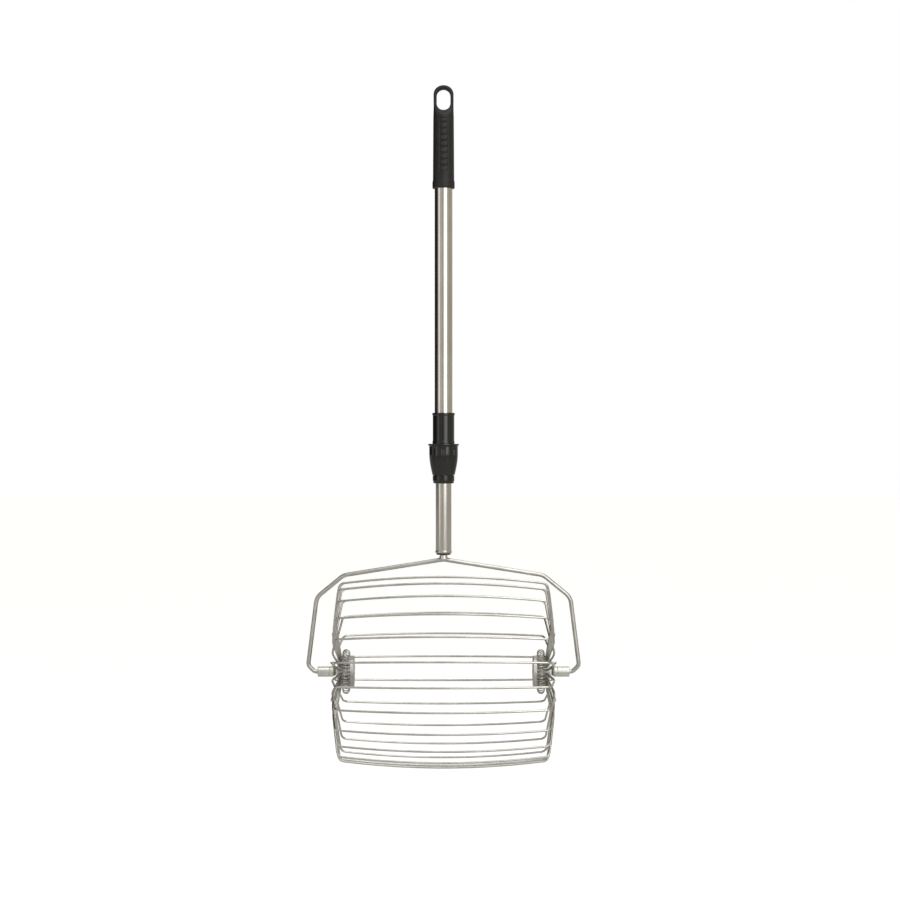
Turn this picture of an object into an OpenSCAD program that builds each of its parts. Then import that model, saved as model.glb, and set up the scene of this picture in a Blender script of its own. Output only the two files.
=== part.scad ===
// Golf ball retriever: a telescopic pole with a twist lock, a bent yoke and a rolling wire cage.
// X runs along the cage's axle, Y is front to back and +Z is up along the pole.
// The origin is the middle of the hang eye in the grip.

/* [Grip] */
// Width of the hang eye
eye_w = 19.2; // [17:0.2:21]
// Height of the hang eye
eye_h = 29.5; // [26:0.5:36]
// Thickness of the loop around the hang eye, front to back
loop_t = 14; // [10:0.5:18]
// Wall of the loop beside the eye
loop_wall = 4.4; // [3:0.2:6]
// Wall of the loop above the eye
loop_top_wall = 5.4; // [3:0.2:8]
// Length of the grip's sleeve below the eye
sleeve_h = 100; // [70:1:140]
// Wall of the sleeve at its lower end
sleeve_wall = 3.1; // [2.6:0.1:7]
// Number of thumb ribs
ribs = 9; // [3:1:10]
// Distance from one thumb rib to the next
rib_pitch = 8.6; // [6:0.1:9]

/* [Pole] */
// Outer diameter of the upper tube
upper_d = 25; // [22:0.5:32]
// Visible length of the upper tube, from the grip to the lock
upper_h = 314; // [250:1:600]
// Wall of both tubes
tube_wall = 1; // [0.8:0.1:1.5]
// Visible length of the lower tube, from the lock to the yoke
lower_h = 97.4; // [88:0.1:200]
// Length of the lower tube that stays inside the upper one
lower_inside = 347; // [250:1:380]
// Running clearance of the parts that slide or turn
running_gap = 0.05; // [0.02:0.01:0.1]

/* [Twist lock] */
// Wall of the socket around the upper tube
socket_wall = 3.3; // [3:0.1:7]
// Height of the socket
socket_h = 43; // [30:1:60]
// Height of the threaded spigot inside the nut
spigot_h = 23; // [15:1:30]
// Largest diameter of the twist nut, over its lobes
nut_d = 43.4; // [42:0.2:52]
// Height of the twist nut
nut_h = 43.8; // [36:0.5:60]
// Number of finger flutes round the twist nut
flutes = 8; // [6:1:16]
// Height of the collet's foot below the nut
collet_foot_h = 11.2; // [6:0.5:15]

/* [Yoke] */
// Diameter of the yoke's rod, which ends in the two axles
rod_d = 6; // [5:0.1:8]
// Bend radius of the yoke's corners
rod_bend = 20; // [14:1:25]
// Bend radius of the yoke's lower corners
axle_bend = 8; // [7:0.5:9]
// How far the yoke's upper corners stand out beyond the cage's rim
yoke_side_gap = 34.5; // [31:0.5:50]
// How far the yoke's corners hang below its middle
shoulder_drop = 22; // [15:1:30]
// Gap between the cage and the yoke's rod above it
yoke_crown_gap = 20; // [17:0.5:60]
// Length of the ferrules on the axles
ferrule_h = 23.5; // [18:0.5:26]
// Diameter of the ferrules
ferrule_d = 14.6; // [11:0.2:18]

/* [Cage] */
// Number of cage wires
wires = 24; // [12:2:26]
// Diameter of the cage wire
wire_d = 3; // [2.4:0.1:3.6]
// Radius of the cage at its middle, to the middle of the wire
cage_r = 132.5; // [110:0.5:160]
// How far the cage narrows from its middle to its ends
cage_bow = 8.5; // [4:0.5:12]
// Half of the length of the cage, to the middle of the legs at the rim
cage_half_l = 145.5; // [120:0.5:176]
// How far the legs bulge outward beyond the rim
leg_bulge = 6; // [3:0.5:8]
// Bend radius at the rim of the cage
rim_bend = 9; // [6:0.5:14]

/* [Hub] */
// Radius at which the tails of the wires lie in the hub
tail_r = 19; // [18.5:0.1:24]
// Outer diameter of the axle bush
bush_d = 8; // [7.6:0.1:9]
// Outer diameter of the garter spring's coil
coil_d = 10.6; // [9:0.2:12]
// Diameter of the garter spring's wire
coil_wire_d = 1.2; // [0.8:0.1:1.5]
// Number of turns in the garter spring
coil_turns = 36; // [24:1:48]
// Number of retaining fingers on each spider
fingers = 6; // [3:1:8]
// Diameter of the spider's wire
finger_d = 2.2; // [1.6:0.1:3]

/* [Hidden] */

// Facets of a round section, and of a full circle swept at a large radius
round_fn = 48;
sweep_fn = 96;
bow_fn = 720;
// Gap between faces that move past each other without touching
free_gap = 0.4;
// Overlap of a cut past the face it opens
cut = 1;
// How far a rod's straights run into its bends, and how much thinner the bends are
bend_lap = 0.3;
bend_thinning = 0.1;

// Colours of the materials
black_plastic = [0.16, 0.155, 0.15];
lock_plastic = [0.12, 0.12, 0.12];
steel = [0.72, 0.71, 0.69];
zinc = [0.66, 0.66, 0.64];
nylon = [0.93, 0.93, 0.9];
wire_grey = [0.6, 0.6, 0.57];
rubber = [0.14, 0.14, 0.14];

// Heights along the pole, from the hang eye down
upper_r = upper_d / 2;
upper_bore_r = upper_r - tube_wall;
lower_r = upper_bore_r - 0.5;
lower_bore_r = lower_r - tube_wall;
web_h = 9.25;
sleeve_top_z = -eye_h / 2 - web_h;
grip_bottom_z = sleeve_top_z - sleeve_h;
socket_top_z = grip_bottom_z - upper_h;
socket_bottom_z = socket_top_z - socket_h;
spigot_bottom_z = socket_bottom_z - spigot_h;
nut_top_z = socket_bottom_z - free_gap;
nut_bottom_z = nut_top_z - nut_h;
foot_top_z = nut_bottom_z - free_gap;
foot_bottom_z = foot_top_z - collet_foot_h;
tube_bottom_z = foot_bottom_z - lower_h;
lower_top_z = foot_bottom_z + lower_inside;
rod_z = tube_bottom_z - 9;
rod_r = rod_d / 2;
wire_r = wire_d / 2;
axle_z = rod_z - rod_r - yoke_crown_gap - wire_r - cage_r;

// Twist lock
socket_r = upper_r + socket_wall;
spigot_r = upper_r + 2.5;
spigot_bore_r = lower_r + 2.8;
collet_r = lower_r + 2.5;
foot_r = lower_r + 4.2;
nut_r = nut_d / 2;
nut_foot_r = foot_r + 0.4;
nut_body_r = nut_r - 1.4;
nut_lip_h = 1.6;
nut_straight = 0.35;
nut_curve_steps = 8;
flute_r = 4.2;
flute_depth = 1.1;
slit_w = 1.4;
collet_slits = 4;

// Grip
grip_top_z = eye_h / 2 + loop_top_wall;
sleeve_r = upper_r + sleeve_wall;
sleeve_top_r = sleeve_r - 1.2;
tube_seat_z = sleeve_top_z - 2;
rib_groove_d = 5;
rib_depth = 0.8;
rib_start = 6;
rib_groove_y = sleeve_top_r + rib_groove_d / 2 - rib_depth;

// Yoke
yoke_half_w = cage_half_l + yoke_side_gap;
low_corner_x = yoke_half_w + 10;
low_corner_cut = 9;
stud_r = rod_r + 2.5;
stud_below = 0.5;
stud_above = 42;
plug_h = 34;
plug_head_h = 2.4;
guide_h = 6;
guide_plug_h = 24;
rim_roll = 0.7;
rim_roll_h = 3.2;

// Cage and hub, measured outward from the middle of the cage along the axle
wire_step = 360 / wires;
wire_phase = wire_step / 4;
hub_in_u = cage_half_l - 20.5;
hub_web = 1.2;
tail_in_u = hub_in_u + hub_web + free_gap;
lip_h = 5.5;
cap_h = 1.6;
spider_h = finger_d + 0.6;
bush_flange_h = 2.4;
bush_flange_w = 3.6;
boss_r = tail_r - wire_r - 0.3;
lip_in_r = tail_r + wire_r + 0.35;
lip_out_r = lip_in_r + 1.6;
garter_u = hub_in_u + lip_h + free_gap + coil_d / 2;
tail_bend_u = garter_u + coil_d / 2 + free_gap + wire_r + 0.2;
hub_face_u = tail_bend_u + 0.4;
cap_out_u = hub_face_u + cap_h;
spider_out_u = cap_out_u + spider_h;
bush_r = bush_d / 2;
bush_end_u = spider_out_u + bush_flange_h;
seal_h = 1.4;
ferrule_in_u = bush_end_u + free_gap + seal_h;
ferrule_out_u = ferrule_in_u + ferrule_h;
axle_end_u = hub_in_u - 1;

// The garter spring, which lies round the tails of the wires
coil_mean_r = coil_d / 2 - coil_wire_d / 2;
garter_r = tail_r + wire_r + free_gap + coil_d / 2;
turn_sides = 10;
coil_sides = 4;

// ---- Rods bent in one plane ----

function heading(p, i) = atan2(p[i + 1].y - p[i].y, p[i + 1].x - p[i].x);
function along(a) = [cos(a), sin(a)];
function wrapped(a) = a > 180 ? a - 360 : a < -180 ? a + 360 : a;
function turn_at(p, i) = wrapped(heading(p, i) - heading(p, i - 1));
function setback(p, bends, i) =
    i == 0 || i == len(p) - 1 ? 0 : bends[i] * tan(abs(turn_at(p, i)) / 2);

// A round rod along the points p, in the XY plane, with the bend radius bends[i] at point i.
// The straights run a little way into the bends, which are a hair thinner
module bent_rod(p, bends, d) {
    last = len(p) - 2;
    for (i = [0:last]) {
        a = heading(p, i);
        from = p[i] + along(a) * (setback(p, bends, i) - (i == 0 ? 0 : bend_lap));
        to = p[i + 1] - along(a) * (setback(p, bends, i + 1) - (i == last ? 0 : bend_lap));
        translate([from.x, from.y, 0])
            rotate([0, 0, a])
                rotate([0, 90, 0])
                    cylinder(d = d, h = norm(to - from), $fn = round_fn);
    }
    for (i = [1:last]) {
        a = heading(p, i - 1);
        turn = turn_at(p, i);
        from = p[i] - along(a) * setback(p, bends, i);
        centre = from + along(a + 90) * bends[i] * sign(turn);
        translate([centre.x, centre.y, 0])
            rotate([0, 0, turn > 0 ? a - 90 : a + 90 + turn])
                rotate_extrude(angle = abs(turn), $fn = bends[i] > 100 ? bow_fn : sweep_fn)
                    translate([bends[i], 0])
                        circle(d = d - bend_thinning, $fn = round_fn);
    }
}

function reversed(list) = [for (i = [len(list) - 1:-1:0]) list[i]];

// A run of points from the left end, then the middle one, then the same points mirrored
function both_ways(half, middle) = concat(half, [middle], [for (p = reversed(half)) [-p.x, p.y]]);
function bends_both_ways(half, middle) = concat(half, [middle], reversed(half));

// ---- Grip and pole ----

module stadium(w, h) {
    for (side = [-1, 1])
        translate([0, side * (h - w) / 2])
            circle(d = w, $fn = round_fn);
    square([w, h - w], center = true);
}

// A plate standing in the XZ plane, cut from the outline given
module upright_plate(t) {
    rotate([90, 0, 0])
        translate([0, 0, -t / 2])
            linear_extrude(t)
                children();
}

module grip_body() {
    rotate_extrude($fn = sweep_fn)
        polygon([
            [0, grip_bottom_z],
            [sleeve_r - 1, grip_bottom_z],
            [sleeve_r, grip_bottom_z + 1],
            [sleeve_r, grip_bottom_z + 9],
            [sleeve_r - 0.7, grip_bottom_z + 12],
            [sleeve_top_r, sleeve_top_z],
            [0, sleeve_top_z]
        ]);
    intersection() {
        upright_plate(2 * sleeve_r) {
            stadium(eye_w + 2 * loop_wall, eye_h + 2 * loop_top_wall);
            translate([-sleeve_top_r, sleeve_top_z - cut])
                square([2 * sleeve_top_r, 2 * web_h]);
        }
        rotate([90, 0, 90])
            translate([0, 0, -sleeve_r])
                linear_extrude(2 * sleeve_r)
                    polygon([
                        [-sleeve_top_r, sleeve_top_z - cut],
                        [sleeve_top_r, sleeve_top_z - cut],
                        [sleeve_top_r, sleeve_top_z],
                        [loop_t / 2, sleeve_top_z + 2 * web_h],
                        [loop_t / 2, grip_top_z + cut],
                        [-loop_t / 2, grip_top_z + cut],
                        [-loop_t / 2, sleeve_top_z + 2 * web_h],
                        [-sleeve_top_r, sleeve_top_z]
                    ]);
        translate([0, 0, sleeve_top_z - cut])
            cylinder(r = sleeve_top_r, h = grip_top_z - sleeve_top_z + 2 * cut, $fn = sweep_fn);
    }
}

module grip() {
    color(black_plastic)
        difference() {
            grip_body();
            translate([0, 0, grip_bottom_z - cut])
                cylinder(r = upper_r, h = tube_seat_z - grip_bottom_z + cut, $fn = sweep_fn);
            upright_plate(2 * sleeve_r)
                stadium(eye_w, eye_h);
            for (i = [0:ribs], side = [-1, 1])
                translate([0, side * rib_groove_y, sleeve_top_z - rib_start - i * rib_pitch])
                    rotate([0, 90, 0])
                        cylinder(d = rib_groove_d, h = 2 * sleeve_r, center = true, $fn = round_fn);
        }
}

module tube(r, bore_r, top_z, bottom_z) {
    translate([0, 0, bottom_z])
        difference() {
            cylinder(r = r, h = top_z - bottom_z, $fn = sweep_fn);
            translate([0, 0, -cut])
                cylinder(r = bore_r, h = top_z - bottom_z + 2 * cut, $fn = sweep_fn);
        }
}

module upper_tube() {
    color(steel)
        tube(upper_r, upper_bore_r, tube_seat_z, socket_bottom_z + 3);
}

// ---- Twist lock ----

module lock_socket() {
    color(lock_plastic)
        rotate_extrude($fn = sweep_fn)
            polygon([
                [upper_r, socket_top_z],
                [socket_r - 0.6, socket_top_z],
                [socket_r, socket_top_z - 0.6],
                [socket_r, socket_top_z - 3],
                [socket_r - 0.7, socket_top_z - 4],
                [socket_r - 0.7, socket_bottom_z + 4],
                [socket_r - 0.2, socket_bottom_z + 3],
                [socket_r - 0.2, socket_bottom_z],
                [spigot_r, socket_bottom_z],
                [spigot_r, spigot_bottom_z],
                [spigot_bore_r, spigot_bottom_z],
                [spigot_bore_r, socket_bottom_z + 1],
                [lower_r + 0.5, socket_bottom_z + 1],
                [lower_r + 0.5, socket_bottom_z + 3],
                [upper_r, socket_bottom_z + 3]
            ]);
}

// The nut's side from its straight body, at t = 0, to its foot, at t = 1
function nut_curve(t) = [
    nut_body_r - (nut_body_r - nut_foot_r) * pow(t, 1.6),
    nut_top_z - nut_h * (nut_straight + (1 - nut_straight) * 0.97 * t)
];

module lock_nut() {
    color(lock_plastic)
        difference() {
            rotate_extrude($fn = sweep_fn)
                polygon(concat(
                    [
                        [spigot_r + running_gap, nut_top_z],
                        [nut_r, nut_top_z],
                        [nut_r, nut_top_z - nut_lip_h],
                        [nut_body_r, nut_top_z - nut_lip_h - 0.6]
                    ],
                    [for (i = [0:nut_curve_steps]) nut_curve(i / nut_curve_steps)],
                    [
                        [nut_foot_r, nut_bottom_z],
                        [collet_r + free_gap, nut_bottom_z],
                        [collet_r + free_gap, spigot_bottom_z - 2],
                        [spigot_r + running_gap, spigot_bottom_z - 2]
                    ]
                ));
            for (i = [0:flutes - 1])
                rotate([0, 0, (i + 0.5) * 360 / flutes])
                    translate([nut_body_r + flute_r - flute_depth, 0, nut_bottom_z - cut])
                        cylinder(r = flute_r, h = nut_h - nut_lip_h - 2 + cut, $fn = round_fn);
        }
}

module lock_collet() {
    collet_top_z = socket_bottom_z - 3;
    color(lock_plastic)
        difference() {
            rotate_extrude($fn = sweep_fn)
                polygon([
                    [lower_r + running_gap, collet_top_z],
                    [collet_r, collet_top_z],
                    [collet_r, foot_top_z],
                    [foot_r, foot_top_z],
                    [foot_r, foot_bottom_z + 4],
                    [foot_r - 0.9, foot_bottom_z + 2.5],
                    [foot_r - 0.9, foot_bottom_z + 0.6],
                    [foot_r - 1.5, foot_bottom_z],
                    [lower_r + running_gap, foot_bottom_z]
                ]);
            for (i = [0:collet_slits - 1])
                rotate([0, 0, i * 360 / collet_slits])
                    translate([0, -slit_w / 2, foot_top_z + 6])
                        cube([2 * foot_r, slit_w, nut_h + spigot_h]);
        }
}

// ---- Lower pole ----

module lower_tube() {
    color(steel)
        difference() {
            union() {
                translate([0, 0, tube_bottom_z])
                    cylinder(r = lower_r, h = lower_top_z - tube_bottom_z, $fn = sweep_fn);
                translate([0, 0, tube_bottom_z])
                    cylinder(r = lower_r + rim_roll, h = rim_roll_h, $fn = sweep_fn);
            }
            translate([0, 0, tube_bottom_z - cut])
                cylinder(r = lower_bore_r, h = lower_top_z - tube_bottom_z + 2 * cut, $fn = sweep_fn);
        }
}

module guide_bush() {
    color(nylon)
        difference() {
            union() {
                translate([0, 0, lower_top_z])
                    cylinder(r = upper_bore_r - running_gap, h = guide_h, $fn = sweep_fn);
                translate([0, 0, lower_top_z - guide_plug_h])
                    cylinder(r = lower_bore_r, h = guide_plug_h, $fn = sweep_fn);
            }
            translate([0, 0, lower_top_z - guide_plug_h - cut])
                cylinder(r = lower_bore_r - 2, h = guide_plug_h + guide_h + 2 * cut, $fn = sweep_fn);
        }
}

module tube_plug() {
    color(black_plastic)
        difference() {
            union() {
                translate([0, 0, tube_bottom_z])
                    cylinder(r = lower_bore_r, h = plug_h, $fn = sweep_fn);
                translate([0, 0, tube_bottom_z - plug_head_h])
                    cylinder(r = lower_bore_r, h = plug_head_h, $fn = sweep_fn);
            }
            translate([0, 0, tube_bottom_z - plug_head_h - cut])
                cylinder(r = stud_r, h = plug_h + plug_head_h + 2 * cut, $fn = sweep_fn);
        }
}

// ---- Yoke ----

yoke_half = [
    [-axle_end_u, axle_z],
    [-(low_corner_x - low_corner_cut), axle_z],
    [-low_corner_x, axle_z + low_corner_cut],
    [-(yoke_half_w - 2), rod_z - shoulder_drop - 31],
    [-(yoke_half_w - 40), rod_z - shoulder_drop]
];
yoke_points = both_ways(yoke_half, [0, rod_z]);
yoke_bends = bends_both_ways([0, axle_bend, axle_bend, rod_bend, rod_bend], rod_bend);

module yoke_rod() {
    color(zinc)
        rotate([90, 0, 0])
            bent_rod(yoke_points, yoke_bends, rod_d);
}

module yoke_stud() {
    color(zinc)
        difference() {
            translate([0, 0, rod_z - stud_below])
                cylinder(r = stud_r, h = stud_below + stud_above, $fn = sweep_fn);
            rotate([90, 0, 0])
                bent_rod(
                    [[-40, rod_z - 40 * shoulder_drop / (yoke_half_w - 40)], [0, rod_z],
                     [40, rod_z - 40 * shoulder_drop / (yoke_half_w - 40)]],
                    [0, rod_bend, 0],
                    rod_d
                );
        }
}

// Places what stands at the right end of the axle, where Z is outward along the axle
module right_end() {
    translate([0, 0, axle_z])
        rotate([0, 90, 0])
            children();
}

module left_end() {
    mirror([1, 0, 0])
        right_end()
            children();
}

module ferrule() {
    color(zinc)
        rotate_extrude($fn = sweep_fn)
            polygon([
                [rod_r, ferrule_in_u],
                [ferrule_d / 2 - 1.2, ferrule_in_u],
                [ferrule_d / 2 - 0.2, ferrule_in_u + 1.2],
                [ferrule_d / 2, ferrule_in_u + 3],
                [ferrule_d / 2, ferrule_out_u - 0.8],
                [ferrule_d / 2 - 0.8, ferrule_out_u],
                [rod_r, ferrule_out_u]
            ]);
}

module seal() {
    color(rubber)
        translate([0, 0, ferrule_in_u - seal_h])
            difference() {
                cylinder(r = ferrule_d / 2 - 2, h = seal_h, $fn = sweep_fn);
                translate([0, 0, -cut])
                    cylinder(r = rod_r, h = seal_h + 2 * cut, $fn = sweep_fn);
            }
}

// ---- Hub ----

module bush() {
    color(nylon)
        rotate_extrude($fn = sweep_fn)
            polygon([
                [rod_r + running_gap, hub_in_u],
                [bush_r, hub_in_u],
                [bush_r, spider_out_u],
                [bush_r + bush_flange_w, spider_out_u],
                [bush_r + bush_flange_w, bush_end_u],
                [rod_r + running_gap, bush_end_u]
            ]);
}

// The spool in which the tails of the wires lie, under its lip
module hub_core() {
    color(zinc)
        rotate_extrude($fn = sweep_fn)
            polygon([
                [bush_r, hub_in_u],
                [lip_out_r, hub_in_u],
                [lip_out_r, hub_in_u + lip_h],
                [lip_in_r, hub_in_u + lip_h],
                [lip_in_r, hub_in_u + hub_web],
                [boss_r, hub_in_u + hub_web],
                [boss_r, hub_face_u],
                [bush_r, hub_face_u]
            ]);
}

module hub_cap() {
    color(zinc)
        translate([0, 0, hub_face_u])
            difference() {
                cylinder(r = boss_r, h = cap_h, $fn = sweep_fn);
                translate([0, 0, -cut])
                    cylinder(r = bush_r, h = cap_h + 2 * cut, $fn = sweep_fn);
            }
}

// A ring with bent fingers, whose tips reach in between the legs of the wires
module spider() {
    ring_u = cap_out_u + spider_h / 2;
    ring_r = bush_r + 5;
    tip_r = leg_mid_r - 13;
    tip_u = leg_mid_u + 3;
    color(zinc) {
        translate([0, 0, cap_out_u])
            difference() {
                cylinder(r = ring_r, h = spider_h, $fn = sweep_fn);
                translate([0, 0, -cut])
                    cylinder(r = bush_r, h = spider_h + 2 * cut, $fn = sweep_fn);
            }
        for (i = [0:fingers - 1])
            rotate([0, 0, wire_phase + (floor(i * wires / fingers) + 0.5) * wire_step])
                rotate([90, 0, 0])
                    bent_rod(
                        [[ring_r - 1.5, ring_u], [ring_r + 8, ring_u],
                         [tip_r, tip_u], [tip_r + 0.8, tip_u - 7.5]],
                        [0, 14, 2.6, 0],
                        finger_d
                    );
    }
}

// A coil spring bent into a closed ring
module garter_spring() {
    steps = coil_turns * turn_sides;
    function section(i) =
        let (phase = i * 360 / turn_sides)
        let (ring = i * 360 / steps)
        [for (j = [0:coil_sides - 1])
            let (tube_a = (j + 0.5) * 360 / coil_sides)
            let (r = garter_r + (coil_mean_r + coil_wire_d / 2 * cos(tube_a)) * sin(phase))
            let (u = garter_u + (coil_mean_r + coil_wire_d / 2 * cos(tube_a)) * cos(phase))
            let (shift = asin(coil_wire_d / 2 * sin(tube_a) / r))
            [r * cos(ring + shift), r * sin(ring + shift), u]];
    points = [for (i = [0:steps - 1]) each section(i)];
    faces = [for (i = [0:steps - 1], j = [0:coil_sides - 1])
        let (n = (i + 1) % steps)
        let (k = (j + 1) % coil_sides)
        each [
            [i * coil_sides + j, i * coil_sides + k, n * coil_sides + k],
            [i * coil_sides + j, n * coil_sides + k, n * coil_sides + j]
        ]];
    color(wire_grey)
        polyhedron(points = points, faces = faces, convexity = 10);
}

// ---- Cage ----

leg_mid_r = cage_r * 0.52;
leg_mid_u = cage_half_l + leg_bulge + 1;
end_r = cage_r - cage_bow;
tail_bend = 3.4;
bulge_bend = 60;
bow_bend = (cage_half_l * cage_half_l) / (2 * cage_bow) * 0.9;
crown_r = cage_r + cage_bow * 0.9;

wire_half = [
    [-tail_in_u, tail_r],
    [-tail_bend_u, tail_r],
    [-leg_mid_u, leg_mid_r],
    [-cage_half_l, end_r]
];
wire_points = both_ways(wire_half, [0, crown_r]);
wire_bends = bends_both_ways([0, tail_bend, bulge_bend, rim_bend], bow_bend);

// One closed wire of the cage: wire 1 is the lowest, and wire 2 stands beside it towards +Y
module cage_wire(i) {
    color(wire_grey)
        translate([0, 0, axle_z])
            rotate([180 + wire_phase + (i - 1) * wire_step, 0, 0])
                rotate([90, 0, 0])
                    bent_rod(wire_points, wire_bends, wire_d);
}

grip();
upper_tube();
lock_socket();
lock_nut();
lock_collet();
lower_tube();
guide_bush();
tube_plug();
yoke_stud();
yoke_rod();
left_end() ferrule();  // left_ferrule
right_end() ferrule();  // right_ferrule
left_end() seal();  // left_seal
right_end() seal();  // right_seal
left_end() bush();  // left_bush
right_end() bush();  // right_bush
left_end() hub_core();  // left_hub_core
right_end() hub_core();  // right_hub_core
left_end() hub_cap();  // left_hub_cap
right_end() hub_cap();  // right_hub_cap
left_end() spider();  // left_spider
right_end() spider();  // right_spider
left_end() garter_spring();  // left_garter_spring
right_end() garter_spring();  // right_garter_spring
for (i = [1:wires])
    cage_wire(i);
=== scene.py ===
"""Golf ball retriever: the finished surfaces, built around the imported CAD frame.

Lengths in the tables below are in millimetres, as in the part's source; meshes are in metres.
X runs along the cage's axle, the camera looks along +Y and +Z is up along the pole.
"""
import math

import bmesh
import bpy
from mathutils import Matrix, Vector


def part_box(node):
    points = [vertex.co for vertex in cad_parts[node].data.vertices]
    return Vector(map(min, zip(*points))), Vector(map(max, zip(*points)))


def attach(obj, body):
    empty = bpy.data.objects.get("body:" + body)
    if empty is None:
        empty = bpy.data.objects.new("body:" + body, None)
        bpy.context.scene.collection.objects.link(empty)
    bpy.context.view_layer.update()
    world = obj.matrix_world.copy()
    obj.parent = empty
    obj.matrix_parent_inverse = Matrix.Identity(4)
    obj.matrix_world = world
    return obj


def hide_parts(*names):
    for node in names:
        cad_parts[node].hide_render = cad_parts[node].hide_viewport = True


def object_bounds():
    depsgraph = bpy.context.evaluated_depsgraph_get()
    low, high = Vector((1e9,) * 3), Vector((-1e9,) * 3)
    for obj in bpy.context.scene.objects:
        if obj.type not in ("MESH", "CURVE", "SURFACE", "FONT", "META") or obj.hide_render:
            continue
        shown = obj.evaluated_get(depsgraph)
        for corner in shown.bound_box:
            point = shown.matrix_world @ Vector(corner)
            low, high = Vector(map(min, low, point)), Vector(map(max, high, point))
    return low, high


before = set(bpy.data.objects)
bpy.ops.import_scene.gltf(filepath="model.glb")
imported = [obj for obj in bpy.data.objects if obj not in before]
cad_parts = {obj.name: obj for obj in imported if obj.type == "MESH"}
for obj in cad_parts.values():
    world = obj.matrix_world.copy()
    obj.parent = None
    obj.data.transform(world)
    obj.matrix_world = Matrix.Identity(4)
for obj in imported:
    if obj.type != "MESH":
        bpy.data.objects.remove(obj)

cad_box = [list(corner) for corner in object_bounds()]
MM = 0.001
WIRES = 24
WIRE_STEP = 360 / WIRES
WIRE_PHASE = WIRE_STEP / 4
# Clearance drawn between pieces that run in each other, and between faces that pass without touching
RUNNING_GAP = 0.05
SKIN_GAP = 0.02
FREE_GAP = 0.4


# ---- Where the CAD's pieces are, in millimetres ----

def low(node, axis):
    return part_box(node)[0][axis] / MM


def high(node, axis):
    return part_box(node)[1][axis] / MM


AXLE_Z = (low("right_bush", 2) + high("right_bush", 2)) / 2
UPPER_R = high("upper_tube", 0)
LOWER_RIM_R = high("lower_tube", 0)
RIM_ROLL = 0.7
RIM_ROLL_H = 3.2
TUBE_SIDES = 160
LOWER_R = LOWER_RIM_R - RIM_ROLL
TUBE_WALL = 1.0
ROD_R = high("yoke_rod", 1)
WIRE_R = 1.5


# ---- Outlines, paths and meshes ----

def rounded(points, radii, closed=False, step=12.0, chord=1000.0):
    """The 2-D points with their corners rounded to the radii given.

    A step of a corner is at most so many degrees wide, and no longer than chord.
    """
    out = []
    count = len(points)
    for i, p in enumerate(points):
        p = Vector(p)
        if radii[i] <= 0 or (not closed and i in (0, count - 1)):
            out.append(p)
            continue
        back = (Vector(points[i - 1]) - p).normalized()
        ahead = (Vector(points[(i + 1) % count]) - p).normalized()
        turn = math.pi - back.angle(ahead)
        if turn < 1e-4:
            out.append(p)
            continue
        reach = radii[i] * math.tan(turn / 2)
        centre = p + (back + ahead).normalized() * (radii[i] / math.cos(turn / 2))
        start = p + back * reach - centre
        side = 1 if back.x * ahead.y - back.y * ahead.x < 0 else -1
        steps = max(2, math.ceil(math.degrees(turn) / step), math.ceil(radii[i] * turn / chord))
        for k in range(steps + 1):
            a = side * turn * k / steps
            out.append(centre + Vector((
                start.x * math.cos(a) - start.y * math.sin(a),
                start.x * math.sin(a) + start.y * math.cos(a),
            )))
    return out


def even(points, longest):
    """The path with its straights cut into pieces no longer than that."""
    out = [points[0]]
    for a, b in zip(points, points[1:]):
        n = max(1, math.ceil((b - a).length / longest))
        out += [a.lerp(b, k / n) for k in range(1, n + 1)]
    return out


def finish_mesh(name, bm, weighted):
    bmesh.ops.recalc_face_normals(bm, faces=bm.faces)
    mesh = bpy.data.meshes.new(name)
    bm.to_mesh(mesh)
    bm.free()
    for polygon in mesh.polygons:
        polygon.use_smooth = True
    obj = bpy.data.objects.new(name, mesh)
    bpy.context.scene.collection.objects.link(obj)
    if weighted:
        mod = obj.modifiers.new("weighted", "WEIGHTED_NORMAL")
        mod.weight = 90
        mod.keep_sharp = True
    return obj


def grid_mesh(name, rows, close_rows=False, close_cols=True, caps=False, uvs=None, weighted=True):
    """A mesh through rows of points, all as long as each other. The points are in millimetres."""
    bm = bmesh.new()
    verts = [[bm.verts.new(Vector(p) * MM) for p in row] for row in rows]
    layer = bm.loops.layers.uv.new("along") if uvs else None
    row_count = len(rows)
    col_count = len(rows[0])
    for i in range(row_count if close_rows else row_count - 1):
        for j in range(col_count if close_cols else col_count - 1):
            ni, nj = (i + 1) % row_count, (j + 1) % col_count
            face = bm.faces.new((verts[i][j], verts[i][nj], verts[ni][nj], verts[ni][j]))
            if layer:
                corners = ((i, j), (i, j + 1), (i + 1, j + 1), (i + 1, j))
                for loop, (a, b) in zip(face.loops, corners):
                    loop[layer].uv = (b / col_count, uvs[min(a, row_count - 1)])
    if caps:
        bm.faces.new(list(reversed(verts[0])))
        bm.faces.new(verts[-1])
    bmesh.ops.remove_doubles(bm, verts=bm.verts, dist=1e-7)
    return finish_mesh(name, bm, weighted)


def lathe(name, outline, radii=None, axis="Z", sides=128, shape=None, mirror=1):
    """A closed outline of (radius, height) points turned round an axis.

    Axis X is the cage's axle, with heights measured outward to the side given by mirror.
    shape(angle, radius, height) may give a point another radius.
    """
    path = rounded(outline, radii or [0] * len(outline), closed=True)
    rows = []
    for k in range(sides):
        a = 2 * math.pi * k / sides
        row = []
        for r, h in path:
            if shape:
                r = shape(a, r, h)
            if axis == "Z":
                row.append((r * math.cos(a), r * math.sin(a), h))
            else:
                row.append((mirror * h, r * math.cos(a), AXLE_Z + r * math.sin(a)))
        rows.append(row)
    return grid_mesh(name, rows, close_rows=True)


# The rounding of a cut rod's end: depth and size, as shares of its radius
END_ROUNDING = [(0.0, 0.7), (0.09, 0.87), (0.3, 1.0)]


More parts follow.
